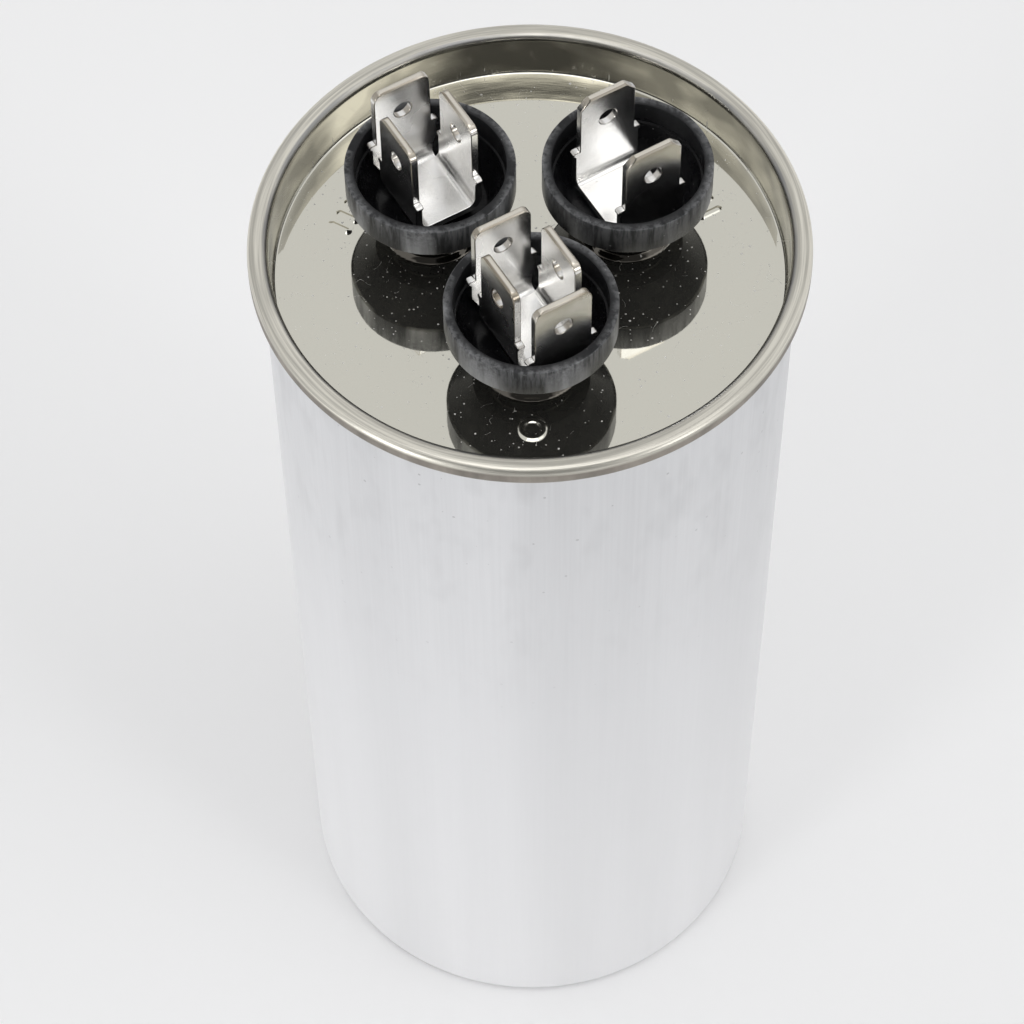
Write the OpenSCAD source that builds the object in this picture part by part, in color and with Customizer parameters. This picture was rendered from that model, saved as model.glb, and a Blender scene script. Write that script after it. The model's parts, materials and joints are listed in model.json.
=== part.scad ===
// Dual motor run capacitor: a round drawn can closed by a rolled-in steel cover, three insulator
// cups that carry groups of 4, 3 and 2 push-on tabs, and the film winding with its connections inside.
// Millimetres. The origin is the centre of the can's flat base and +Z points up through the tabs.

/* [Can] */
// Outside diameter of the drawn aluminium can
can_d = 54; // [50:0.5:62]
// Height from the base to the top of the rolled rim
can_h = 116.8; // [112:0.1:130]
// Thickness of the can's side wall
can_wall = 0.35; // [0.3:0.01:0.45]
// Thickness of the can's base
can_base = 0.5; // [0.4:0.05:1]
// Outside radius of the can's bottom corner
can_corner_r = 1.7; // [1.2:0.1:2.5]

/* [Cover and rolled rim] */
// Thickness of the steel cover
cover_t = 0.35; // [0.3:0.01:0.4]
// Space between the sheets that are rolled together in the rim
seam_gap = 0.1; // [0.08:0.01:0.13]
// How far the rolled rim presses the can's wall in
wall_press = 0.05; // [0.03:0.01:0.06]
// Height of the taper below the rim that leads to the pressed wall
press_h = 0.7; // [0.6:0.1:1]
// Height of the rolled rim
seam_h = 2.2; // [2.1:0.05:3]
// Radius of the rim's two top edges
rim_edge_r = 0.8; // [0.6:0.05:0.9]
// Depth of the cover's flat panel below the top of the rim
panel_depth = 5.35; // [4.5:0.05:7]
// How far the sloping wall of the well comes in below the rim
well_draft = 0.2; // [0.1:0.1:1]
// Radius where that wall meets the panel
well_fillet_r = 0.3; // [0.2:0.1:1]
// Height of the round boss pressed up under each cup
boss_h = 0.7; // [0.5:0.05:1.5]
// Diameter of the flat top of a boss
boss_top_d = 8.6; // [8.6:0.1:9.6]
// Width of the rounded shoulder round a boss
boss_slope = 0.8; // [0.8:0.1:1.4]

/* [Insulator cups] */
// Radius of the circle on which the three cups stand
cup_circle_r = 11.4; // [10.8:0.1:12.4]
// Outside diameter of a cup
cup_d = 17.2; // [16.8:0.1:18]
// Height of a cup's rim above the cover's panel
cup_h = 9.95; // [9:0.05:12]
// Wall thickness at the rim
cup_wall = 0.95; // [0.7:0.05:1.05]
// Height of the plain band round a cup
cup_band_h = 3.5; // [2.5:0.1:4.2]
// Depth of the step inside a cup below its rim
cup_ledge_depth = 2.6; // [1.5:0.1:3]
// Width of that step
cup_ledge_w = 0.25; // [0.1:0.05:0.35]
// Height of the cup's floor above the cover's panel
cup_floor_h = 3.75; // [3.4:0.05:4.3]
// Diameter of the flat part of the floor
cup_floor_d = 11.2; // [10.8:0.1:11.6]
// Thickness of the floor
cup_floor_t = 0.9; // [0.7:0.05:1.2]
// Height of the straight wall between the step and the sloping wall inside
cup_straight_h = 0.8; // [0.5:0.05:1.2]
// Width of the flat underside past the edge of the floor
cup_under_w = 0.3; // [0.2:0.05:0.5]
// How far the small lip under the band is set in
cup_lip_in = 0.3; // [0.25:0.05:0.5]
// Height of that lip
cup_lip_h = 0.15; // [0.1:0.05:0.4]
// Radius of the rounded edges of the rim and the band
cup_edge_r = 0.1; // [0.05:0.05:0.25]
// Size of the filled corner between the floor and the stem
cup_corner = 0.3; // [0.1:0.05:0.5]
// Diameter of the stem that stands on the cover's boss
stem_d = 8.4; // [7.6:0.1:8.6]
// Diameter of the spigot that passes through the cover
spigot_d = 5.2; // [4.6:0.1:5.6]

/* [Tabs] */
// Thickness of the tab sheet
tab_t = 0.8; // [0.7:0.05:0.9]
// Width of a push-on tab
tab_w = 6.35; // [6:0.05:6.5]
// Width of the sheet below the shoulders
tab_base_w = 7.4; // [6.8:0.1:7.6]
// Width of a lower sheet where it bends up inside the cup
lower_foot_w = 6; // [5:0.1:6.2]
// Height of that narrow foot above the sheet
foot_h = 0.5; // [0.2:0.1:0.8]
// Height over which the foot widens to the full sheet
foot_flare_h = 1.4; // [0.8:0.1:2]
// Width across the two shoulder nubs
nub_w = 7.9; // [7.7:0.1:8.2]
// Height of the nubs
nub_h = 0.7; // [0.6:0.1:1.2]
// Size of the cut corner on top of a nub
nub_chamfer = 0.2; // [0.1:0.05:0.3]
// Height of the slope under a nub
nub_slope_h = 0.3; // [0.1:0.05:0.5]
// Length of a tab above its shoulder nubs
tab_l = 7.3; // [6.8:0.1:9]
// Height of the shoulder nubs above the underside of the lower sheet
shoulder_h = 5.4; // [4.8:0.1:6.5]
// Size of the cut or rounded corners at the tip
tip_chamfer = 1.15; // [0.6:0.05:1.6]
// Bevel that thins the tip's edge
tip_bevel = 0.2; // [0.05:0.05:0.3]
// Diameter of the locking hole in a tab
hole_d = 2; // [1.6:0.1:2.4]
// Distance of that hole below the tip
hole_drop = 3.7; // [3:0.1:4.4]
// Space between the two tabs of an upper sheet
upper_gap = 6; // [5.6:0.1:6.6]
// Space between the two tabs of a lower sheet
lower_gap = 10.6; // [10.2:0.1:10.8]
// Space between the two tabs of the single sheet
single_gap = 7.8; // [7:0.1:8.6]
// Inside bend radius of the upper and single sheets
tight_bend_r = 0.8; // [0.5:0.1:1]
// Inside bend radius of the lower sheets
wide_bend_r = 1.6; // [1:0.1:1.8]
// Angle of the tab sheets about their cup's axis
tab_turn = 30; // [0:5:60]

/* [Rivets and seals] */
// Diameter of a rivet's shank
rivet_d = 3; // [2.4:0.1:3.2]
// Diameter of a rivet's flat head
rivet_head_d = 6; // [5:0.1:6.4]
// Thickness of a rivet's head
rivet_head_t = 0.8; // [0.6:0.1:1.2]
// How far a rivet's head stands above the cup's floor
rivet_proud = 0.3; // [0.2:0.05:0.4]
// Diameter of a rivet's rolled tail
rivet_tail_d = 4.8; // [4:0.1:5.4]
// Thickness of a rivet's rolled tail
rivet_tail_t = 0.6; // [0.4:0.1:1]
// Outside diameter of the rubber gasket inside each boss
gasket_d = 8.2; // [7:0.1:8.4]
// Outside diameter of the insulating washer under the cover
washer_d = 10.4; // [9:0.1:12]
// Thickness of the insulating washer
washer_t = 0.8; // [0.6:0.1:1.4]
// Outside diameter of a solder tag's ring
tag_d = 6.8; // [6.2:0.1:8]
// Thickness of a solder tag
tag_t = 0.4; // [0.3:0.05:0.6]
// Length of a solder tag from the rivet's axis
tag_l = 6.6; // [5.6:0.1:7]
// Width of a solder tag and of a lead strip
tag_w = 3; // [2:0.1:4]
// Thickness of a lead strip
lead_t = 0.3; // [0.2:0.05:0.4]
// Length of a lead strip's soldered foot
lead_foot = 3; // [2:0.1:3.4]
// Radial clearance round rivets and spigots
fit_gap = 0.1; // [0.05:0.01:0.15]

/* [Winding] */
// Gap between the wrapped winding and the base cup's wall
winding_side_gap = 0.6; // [0.4:0.1:2]
// Space between the winding's upper contacts and the underside of the cover
winding_top_gap = 14.5; // [10:0.1:36]
// Outside diameter of the core tube
core_d = 9.8; // [8:0.1:10.4]
// Wall thickness of the core tube
core_wall = 0.8; // [0.5:0.1:1.4]
// How far the core tube and the wrap stand above the winding's upper end
core_proud = 1.6; // [1:0.1:3]
// Thickness of the sprayed metal on the ends of the winding
contact_t = 0.8; // [0.5:0.1:1.2]
// Outside diameter of the inner contact on the upper end
inner_contact_d = 22; // [20:0.5:23]
// Width of the bare ring between the two upper contacts
contact_split = 2; // [1:0.1:3]
// Thickness of the plastic wrap round the winding
wrap_t = 0.3; // [0.2:0.05:0.6]
// Clearance between pieces that slide together
slip_gap = 0.1; // [0.05:0.01:0.2]

/* [Base cup and spacer] */
// Gap between the can's wall and the plastic base cup
base_cup_gap = 0.25; // [0.1:0.05:0.4]
// Wall thickness of the base cup
base_cup_wall = 0.8; // [0.5:0.1:0.9]
// Floor thickness of the base cup
base_cup_t = 1.5; // [1:0.1:3]
// Height of the base cup
base_cup_h = 14; // [8:0.5:30]
// Height of the ring on which the winding stands
seat_h = 1; // [0.7:0.1:2]
// Inside diameter of that ring
seat_inner_d = 28; // [26:0.5:40]
// How far the spacer between the winding and the cover is set in from the winding's side
spacer_inset = 0.5; // [0.3:0.1:1]
// Wall thickness of the spacer
spacer_wall = 1.4; // [0.8:0.1:2]

/* [Marks] */
// Radius of the circle on which the pressed marks lie
mark_circle_r = 19.6; // [19:0.1:21]
// Diameter of the ring that marks the common cup
mark_ring_d = 2.8; // [2:0.1:3]
// Length of a stroke
mark_l = 2.3; // [1.4:0.1:2.4]
// Width of a stroke, twice its height
mark_w = 0.6; // [0.3:0.05:0.8]
// Spacing of the strokes
mark_pitch = 1.6; // [1.2:0.1:2]

/* [Hidden] */
$fn = 96;
// Steps in a quarter turn of a small edge, and in a boss's shoulder
edge_steps = 6;
slope_steps = 12;
// Extra length of a cutting tool past the face that it cuts
cut = 1;

can_r = can_d / 2;
rim_r = can_r + 2 * cover_t + can_wall + 3 * seam_gap;
chuck_r = can_r - can_wall - seam_gap - cover_t;
well_r = chuck_r - well_draft;
panel_z = can_h - panel_depth;
panel_under_z = panel_z - cover_t;
boss_z = panel_z + boss_h;
boss_r = boss_top_d / 2;
roll_r = (2 * cover_t + can_wall + 2 * seam_gap) / 2;
hook_r = (cover_t + 2 * can_wall + 2 * seam_gap) / 2;
hook_z = can_h - cover_t - seam_gap - hook_r;
rim_base_z = can_h - seam_h;

cup_r = cup_d / 2;
cup_top_z = panel_z + cup_h;
cup_in_r = cup_r - cup_wall;
cup_low_r = cup_in_r - cup_ledge_w;
ledge_z = cup_top_z - cup_ledge_depth;
band_z = cup_top_z - cup_band_h;
floor_z = panel_z + cup_floor_h;
floor_r = cup_floor_d / 2;
cone_top_z = ledge_z - cup_straight_h;
lip_r = cup_r - cup_lip_in;
lip_z = band_z - cup_lip_h;
under_z = floor_z - cup_floor_t;
spigot_r = spigot_d / 2;
rivet_bore_r = rivet_d / 2 + fit_gap;
head_top_z = floor_z + rivet_proud;
head_seat_z = head_top_z - rivet_head_t;

sheet_z = head_top_z;
shoulder_z = sheet_z + shoulder_h;
tip_z = shoulder_z + tab_l;
hole_z = tip_z - hole_drop;

washer_z = panel_under_z - washer_t;
tag_z = washer_z - tag_t;

seat_z = can_base + base_cup_t + seat_h;
winding_z = seat_z + contact_t;
contact_top_z = panel_under_z - winding_top_gap;
winding_top_z = contact_top_z - contact_t;
bore_r = core_d / 2 + slip_gap;
base_cup_r = can_r - can_wall - base_cup_gap;
wrap_r = base_cup_r - base_cup_wall - winding_side_gap;
wrap_in_r = wrap_r - wrap_t;
winding_r = wrap_in_r - slip_gap;

common_angle = -90;
herm_angle = 150;
fan_angle = 30;
herm_strokes = 7;
fan_strokes = 5;

// Points along an arc about c, from angle a to angle b
function arc(c, r, a, b) =
    [for (i = [0:edge_steps]) let (t = a + (b - a) * i / edge_steps) c + r * [cos(t), sin(t)]];

// Points down the shoulder of a boss, moved square to it by d
function boss_curve(d) =
    [for (i = [0:slope_steps])
        let (u = 180 * i / slope_steps,
             slope = -boss_h * PI / 2 / boss_slope * sin(u),
             len = sqrt(1 + slope * slope))
        [boss_r + boss_slope * i / slope_steps + d * slope / len,
         panel_z + boss_h * (1 + cos(u)) / 2 - d / len]];

// Places its children at a cup's axis, turned so that +X points away from the can's axis
module at_cup(angle) {
    rotate([0, 0, angle]) translate([cup_circle_r, 0, 0]) children();
}

// A flat ring between two radii
module ring(r_in, r_out, z, h) {
    translate([0, 0, z]) difference() {
        cylinder(r = r_out, h = h);
        translate([0, 0, -cut]) cylinder(r = r_in, h = h + 2 * cut);
    }
}

// Drawn can: flat base, straight wall, and the flange hooked over inside the rolled rim
module can() {
    neck_r = can_r - wall_press;
    hook_c = [neck_r - can_wall + hook_r, hook_z];
    hook_out_r = neck_r - can_wall + 2 * hook_r;
    hook_end_z = rim_base_z + roll_r;
    color([0.80, 0.81, 0.82]) rotate_extrude() polygon(concat(
        [[0, 0]],
        arc([can_r - can_corner_r, can_corner_r], can_corner_r, -90, 0),
        [[can_r, rim_base_z - press_h], [neck_r, rim_base_z]],
        arc(hook_c, hook_r - can_wall, 180, 0),
        [[hook_out_r - can_wall, hook_end_z], [hook_out_r, hook_end_z]],
        arc(hook_c, hook_r, 0, 180),
        [[neck_r - can_wall, rim_base_z], [can_r - can_wall, rim_base_z - press_h]],
        arc([can_r - can_corner_r, can_corner_r + can_base - can_wall], can_corner_r - can_wall, 0, -90),
        [[0, can_base]]));
}

// Half section of the cover: panel, sloping well, rolled rim and the hook tucked up inside it
function cover_section() =
    let (t = cover_t,
         fillet_c = [well_r - well_fillet_r, panel_z + well_fillet_r],
         inner_c = [chuck_r + rim_edge_r, can_h - rim_edge_r],
         outer_c = [rim_r - rim_edge_r, can_h - rim_edge_r],
         roll_c = [rim_r - roll_r, rim_base_z + roll_r])
    concat(
        [[0, panel_z]],
        arc(fillet_c, well_fillet_r, -90, 0),
        [[chuck_r, rim_base_z]],
        arc(inner_c, rim_edge_r, 180, 90),
        arc(outer_c, rim_edge_r, 90, 0),
        arc(roll_c, roll_r, 0, -180),
        [[rim_r - 2 * roll_r, hook_z], [rim_r - 2 * roll_r + t, hook_z]],
        arc(roll_c, roll_r - t, -180, 0),
        arc(outer_c, rim_edge_r - t, 0, 90),
        arc(inner_c, rim_edge_r - t, 90, 180),
        [[chuck_r + t, rim_base_z]],
        arc(fillet_c, well_fillet_r + t, 0, -90),
        [[0, panel_z - t]]);

// Pressed marks: a ring at the common cup, and rows of plain strokes at the other two
module marks() {
    translate([0, -mark_circle_r, panel_z])
        rotate_extrude() translate([(mark_ring_d - mark_w) / 2, 0]) circle(d = mark_w, $fn = 24);
    for (group = [[herm_angle, herm_strokes], [fan_angle, fan_strokes]], i = [0:group[1] - 1])
        rotate([0, 0, group[0]])
            translate([mark_circle_r, (i - (group[1] - 1) / 2) * mark_pitch, panel_z]) stroke();
}

// A rounded bar along X, half sunk in the panel
module stroke() {
    rotate([0, 90, 0]) cylinder(d = mark_w, h = mark_l - mark_w, center = true, $fn = 24);
    for (side = [-1, 1]) translate([side * (mark_l - mark_w) / 2, 0, 0]) sphere(d = mark_w, $fn = 24);
}

// Steel cover with a pressed boss and a hole under each cup
module cover() {
    color([0.78, 0.76, 0.71]) difference() {
        union() {
            rotate_extrude() polygon(cover_section());
            for (angle = [common_angle, herm_angle, fan_angle]) at_cup(angle)
                rotate_extrude() polygon(concat([[0, panel_under_z], [0, boss_z]], boss_curve(0),
                    [[boss_r + boss_slope, panel_under_z]]));
            marks();
        }
        for (angle = [common_angle, herm_angle, fan_angle]) at_cup(angle) {
            rotate_extrude() polygon(concat([[0, panel_under_z - cut], [0, boss_z - cover_t]],
                boss_curve(cover_t), [[boss_r + boss_slope, panel_under_z - cut]]));
            translate([0, 0, panel_z]) cylinder(r = spigot_r + fit_gap, h = boss_h + cut);
        }
    }
}

// Moulded insulator: a bowl with a plain band, on a stem whose spigot passes through the cover
module insulator_cup() {
    color([0.07, 0.07, 0.08]) rotate_extrude() polygon(concat(
        [[rivet_bore_r, panel_under_z], [spigot_r, panel_under_z], [spigot_r, boss_z],
         [stem_d / 2, boss_z], [stem_d / 2, under_z - cup_corner], [stem_d / 2 + cup_corner, under_z],
         [floor_r + cup_under_w, under_z], [lip_r, lip_z], [cup_r - cup_edge_r, band_z]],
        arc([cup_r - cup_edge_r, band_z + cup_edge_r], cup_edge_r, -90, 0),
        arc([cup_r - cup_edge_r, cup_top_z - cup_edge_r], cup_edge_r, 0, 90),
        arc([cup_in_r + cup_edge_r, cup_top_z - cup_edge_r], cup_edge_r, 90, 180),
        [[cup_in_r, ledge_z], [cup_low_r, ledge_z], [cup_low_r, cone_top_z], [floor_r, floor_z],
         [rivet_head_d / 2 + fit_gap, floor_z], [rivet_head_d / 2 + fit_gap, head_seat_z],
         [rivet_bore_r, head_seat_z]]));
}

// One tab and its bend in side view, at the +Y end of a sheet whose underside is at height z
function tab_side(gap, bend_r, z) =
    let (y = gap / 2, c = [y - bend_r, z + tab_t + bend_r])
    concat(
        arc(c, bend_r + tab_t, -90, 0),
        [[y + tab_t, tip_z - tip_bevel], [y + tab_t - tip_bevel, tip_z],
         [y + tip_bevel, tip_z], [y, tip_z - tip_bevel]],
        arc(c, bend_r, 0, -90));

function mirrored(points) = [for (i = [len(points) - 1:-1:0]) [-points[i][0], points[i][1]]];

// Outline of a tab in front view, from its foot at height z past its shoulders to the tip,
// with the tip's corners rounded or cut straight
function tab_front(z, foot_w, round_tip) =
    let (foot_z = z + tab_t + foot_h,
         half = [[foot_w / 2, z - cut], [foot_w / 2, foot_z],
                 [tab_base_w / 2, foot_z + foot_flare_h],
                 [tab_base_w / 2, shoulder_z - nub_h],
                 [nub_w / 2, shoulder_z - nub_h + nub_slope_h], [nub_w / 2, shoulder_z - nub_chamfer],
                 [nub_w / 2 - nub_chamfer, shoulder_z], [tab_w / 2, shoulder_z]],
         corner = round_tip
             ? arc([tab_w / 2 - tip_chamfer, tip_z - tip_chamfer], tip_chamfer, 0, 90)
             : [[tab_w / 2, tip_z - tip_chamfer], [tab_w / 2 - tip_chamfer, tip_z]])
    concat(half, corner, mirrored(concat(half, corner)));

// Folded sheet with a tab at each end, or at its +Y end alone
module tab_sheet(gap, bend_r, z, foot_w = tab_base_w, both = true, round_tip = true) {
    side = tab_side(gap, bend_r, z);
    plain_end = [[-foot_w / 2, z + tab_t], [-foot_w / 2, z]];
    color([0.86, 0.84, 0.80]) difference() {
        intersection() {
            rotate([90, 0, 90]) linear_extrude(nub_w + cut, center = true)
                polygon(concat(side, both ? mirrored(side) : plain_end));
            rotate([90, 0, 0]) linear_extrude(gap + 2 * tab_t + cut, center = true)
                polygon(tab_front(z, foot_w, round_tip));
        }
        translate([0, 0, hole_z]) rotate([90, 0, 0])
            cylinder(d = hole_d, h = gap + 2 * tab_t + cut, center = true, $fn = 48);
    }
}

// Places a tab sheet in its cup: tabs across the turn angle, or along it
module seat_tabs(angle, along = false) {
    at_cup(angle) rotate([0, 0, tab_turn - angle - (along ? 90 : 0)]) children();
}

// Rivet: flat head under the tab sheet, shank through cup and cover, rolled tail on the solder tag
module rivet() {
    color([0.75, 0.72, 0.62]) {
        translate([0, 0, head_seat_z]) cylinder(d = rivet_head_d, h = rivet_head_t);
        translate([0, 0, tag_z - rivet_tail_t]) cylinder(d = rivet_d, h = head_seat_z - tag_z + rivet_tail_t);
        translate([0, 0, tag_z - rivet_tail_t]) cylinder(d = rivet_tail_d, h = rivet_tail_t);
    }
}

// Rubber gasket in the hollow of a boss
module gasket() {
    color([0.15, 0.14, 0.14])
        ring(spigot_r + fit_gap, gasket_d / 2, panel_under_z, boss_h);
}

// Insulating washer that keeps the tag off the cover
module washer() {
    color([0.80, 0.70, 0.50]) ring(rivet_bore_r, washer_d / 2, washer_z, washer_t);
}

// Solder tag with its tongue towards +X
module tag() {
    color([0.82, 0.72, 0.40]) translate([0, 0, tag_z]) difference() {
        union() {
            cylinder(d = tag_d, h = tag_t);
            translate([0, -tag_w / 2, 0]) cube([tag_l, tag_w, tag_t]);
        }
        translate([0, 0, -cut]) cylinder(r = rivet_bore_r, h = tag_t + 2 * cut);
    }
}

// Lead strip from under a tag's tongue, down to a contact, with its lower foot towards +X
module drop_lead() {
    drop_x = tag_l - lead_t;
    color([0.85, 0.83, 0.78]) rotate([90, 0, 0]) linear_extrude(tag_w, center = true) {
        translate([tag_l - lead_foot, tag_z - lead_t]) square([lead_foot, lead_t]);
        translate([drop_x, contact_top_z]) square([lead_t, tag_z - contact_top_z]);
        translate([drop_x, contact_top_z]) square([lead_foot, lead_t]);
    }
}

// Lead strip from the fan tag, back down to the inner contact under its own rivet
module fan_lead() {
    drop_x = tag_l - lead_foot;
    color([0.85, 0.83, 0.78]) at_cup(fan_angle) rotate([0, 0, 180])
        rotate([90, 0, 0]) linear_extrude(tag_w, center = true) {
            translate([drop_x, tag_z - lead_t]) square([lead_foot, lead_t]);
            translate([drop_x, contact_top_z]) square([lead_t, tag_z - contact_top_z]);
            translate([drop_x + lead_t - lead_foot, contact_top_z]) square([lead_foot, lead_t]);
        }
}

// Common lead: across to the can's axis, down the core tube and out under the lower contact
module common_lead() {
    axis_x = cup_circle_r;
    color([0.85, 0.83, 0.78]) at_cup(common_angle) rotate([0, 0, 180])
        rotate([90, 0, 0]) linear_extrude(tag_w, center = true) {
            translate([tag_l - lead_foot, tag_z - lead_t])
                square([axis_x - tag_l + lead_foot, lead_t]);
            translate([axis_x - lead_t, seat_z - lead_t]) square([lead_t, tag_z - seat_z + lead_t]);
            translate([axis_x - lead_t, seat_z - lead_t]) square([bore_r + lead_foot, lead_t]);
        }
}

// Film winding, all its turns as one body
module winding() {
    color([0.88, 0.86, 0.78]) ring(bore_r, winding_r, winding_z, winding_top_z - winding_z);
}

module core_tube() {
    color([0.90, 0.90, 0.86])
        ring(core_d / 2 - core_wall, core_d / 2, seat_z, winding_top_z + core_proud - seat_z);
}

module inner_contact() {
    color([0.66, 0.67, 0.69]) ring(bore_r, inner_contact_d / 2, winding_top_z, contact_t);
}

module outer_contact() {
    color([0.66, 0.67, 0.69])
        ring(inner_contact_d / 2 + contact_split, winding_r, winding_top_z, contact_t);
}

module bottom_contact() {
    color([0.66, 0.67, 0.69]) ring(bore_r, winding_r, seat_z, contact_t);
}

module winding_wrap() {
    color([0.93, 0.90, 0.70])
        ring(wrap_in_r, wrap_r, seat_z, winding_top_z + core_proud - seat_z);
}

// Plastic cup that keeps the winding off the can's base and wall
module base_cup() {
    r = base_cup_r;
    corner = can_corner_r - can_wall;
    color([0.95, 0.94, 0.90]) rotate_extrude() polygon(concat(
        [[0, can_base], [r - corner, can_base], [r, can_base + corner], [r, can_base + base_cup_h],
         [r - base_cup_wall, can_base + base_cup_h], [r - base_cup_wall, seat_z], [seat_inner_d / 2, seat_z],
         [seat_inner_d / 2, can_base + base_cup_t], [0, can_base + base_cup_t]]));
}

// Plastic ring that holds the winding down against the cover
module spacer_ring() {
    color([0.95, 0.94, 0.90])
        ring(winding_r - spacer_inset - spacer_wall, winding_r - spacer_inset, contact_top_z, winding_top_gap);
}

can();
cover();
at_cup(common_angle) insulator_cup();  // common_cup
at_cup(herm_angle) insulator_cup();  // herm_cup
at_cup(fan_angle) insulator_cup();  // fan_cup
seat_tabs(common_angle) tab_sheet(lower_gap, wide_bend_r, sheet_z, lower_foot_w);  // common_lower_tabs
seat_tabs(common_angle, along = true) tab_sheet(upper_gap, tight_bend_r, sheet_z + tab_t);  // common_upper_tabs
seat_tabs(herm_angle) tab_sheet(lower_gap, wide_bend_r, sheet_z, lower_foot_w, both = false);  // herm_rear_tab
seat_tabs(herm_angle, along = true) tab_sheet(upper_gap, tight_bend_r, sheet_z + tab_t);  // herm_side_tabs
seat_tabs(fan_angle) tab_sheet(single_gap, tight_bend_r, sheet_z, round_tip = false);  // fan_tabs
at_cup(common_angle) rivet();  // common_rivet
at_cup(herm_angle) rivet();  // herm_rivet
at_cup(fan_angle) rivet();  // fan_rivet
at_cup(common_angle) gasket();  // common_gasket
at_cup(herm_angle) gasket();  // herm_gasket
at_cup(fan_angle) gasket();  // fan_gasket
at_cup(common_angle) washer();  // common_washer
at_cup(herm_angle) washer();  // herm_washer
at_cup(fan_angle) washer();  // fan_washer
at_cup(common_angle) rotate([0, 0, 180]) tag();  // common_tag
at_cup(herm_angle) tag();  // herm_tag
at_cup(fan_angle) rotate([0, 0, 180]) tag();  // fan_tag
common_lead();
at_cup(herm_angle) drop_lead();  // herm_lead
fan_lead();
winding();
core_tube();
inner_contact();
outer_contact();
bottom_contact();
winding_wrap();
base_cup();
spacer_ring();
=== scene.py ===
import json
import math

import bmesh
import bpy
import numpy as np
from mathutils import Matrix, Vector


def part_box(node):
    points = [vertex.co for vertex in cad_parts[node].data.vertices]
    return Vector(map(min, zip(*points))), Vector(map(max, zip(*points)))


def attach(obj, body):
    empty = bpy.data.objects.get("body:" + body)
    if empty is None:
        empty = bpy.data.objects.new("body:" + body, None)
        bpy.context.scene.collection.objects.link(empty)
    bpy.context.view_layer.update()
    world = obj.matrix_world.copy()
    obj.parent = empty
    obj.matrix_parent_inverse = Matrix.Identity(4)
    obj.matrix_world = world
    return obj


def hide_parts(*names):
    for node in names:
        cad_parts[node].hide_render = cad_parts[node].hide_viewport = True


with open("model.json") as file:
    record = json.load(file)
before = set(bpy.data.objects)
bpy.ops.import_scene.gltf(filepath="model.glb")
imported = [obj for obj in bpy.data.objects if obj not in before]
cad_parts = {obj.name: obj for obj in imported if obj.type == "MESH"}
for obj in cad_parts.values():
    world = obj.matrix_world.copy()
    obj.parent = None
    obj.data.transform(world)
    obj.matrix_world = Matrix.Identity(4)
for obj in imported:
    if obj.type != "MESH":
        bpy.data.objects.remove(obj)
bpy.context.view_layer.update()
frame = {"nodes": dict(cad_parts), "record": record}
mm = 0.001


def nodeBox(name):
    low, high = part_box(name)
    return np.array(low), np.array(high)


# Sizes in millimetres, as in the part's source; what can be read from the frame's boxes is read from them.
can = {
    "wall": 0.35, "base": 0.5, "cornerR": 1.7, "press": 0.05, "pressH": 0.7, "cols": 320,
    "poleR": 0.4, "step": 6.0, "wave": 0.012, "ripple": 0.008,
}
cover = {
    "t": 0.35, "gap": 0.1, "seamH": 2.2, "edgeR": 0.8, "draft": 0.2, "filletR": 0.3,
    "bossH": 0.7, "bossR": 4.3, "slope": 0.8, "uneven": 0.004, "poleR": 0.3, "turn": 0.022, "fineTurn": 0.0052,
}
coverLow, coverHigh = (v / mm for v in nodeBox("cover"))
canTop = coverHigh[2]
rimR = coverHigh[0]
canR = rimR - 2 * cover["t"] - can["wall"] - 3 * cover["gap"]
chuckR = canR - can["wall"] - cover["gap"] - cover["t"]
wellR = chuckR - cover["draft"]
panelZ = coverLow[2] + cover["t"]
rimBaseZ = canTop - cover["seamH"]
rollR = (2 * cover["t"] + can["wall"] + 2 * cover["gap"]) / 2
hookR = (cover["t"] + 2 * can["wall"] + 2 * cover["gap"]) / 2
hookZ = canTop - cover["t"] - cover["gap"] - hookR
tabTop = nodeBox("common_upper_tabs")[1][2] / mm
cups = {}
for name in ("common", "herm", "fan"):
    cupLow, cupHigh = (v / mm for v in nodeBox(name + "_cup"))
    cups[name] = {
        "centre": (cupLow + cupHigh)[:2] / 2, "r": (cupHigh - cupLow)[0] / 2, "top": cupHigh[2], "low": cupLow[2],
    }


# Mesh of a grid of points, rows by columns: columns run round (closeU), and a capped end row closes on its middle.
def gridMesh(name, points, closeU=True, caps=(False, False)):
    rows, cols = points.shape[:2]
    verts = points.reshape(-1, 3)
    r, c = np.meshgrid(np.arange(rows - 1), np.arange(cols if closeU else cols - 1), indexing="ij")
    a = r * cols + c
    b = r * cols + (c + 1) % cols
    faces = np.stack([a, b, b + cols, a + cols], -1).reshape(-1, 4).tolist()
    for end, row in ((0, 0), (1, rows - 1)):
        if caps[end]:
            hub = len(verts)
            verts = np.vstack([verts, points[row].mean(0)])
            ring = row * cols + np.arange(cols)
            pair = np.stack([ring, np.roll(ring, -1)], -1)
            if end == 0:
                pair = pair[:, ::-1]
            faces += np.column_stack([pair, np.full(len(pair), hub)]).tolist()
    mesh = bpy.data.meshes.new(name)
    mesh.from_pydata(verts.tolist(), [], faces)
    mesh.validate()
    mesh.update()
    return mesh


# Object at the origin that stands for a CAD node, rides on the root body and takes its finish.
def newPiece(name, mesh, node, material):
    piece = bpy.data.objects.new(name, mesh)
    bpy.context.scene.collection.objects.link(piece)
    mesh.materials.clear()
    mesh.materials.append(material)
    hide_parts(node)
    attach(piece, "root")
    return piece


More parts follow.
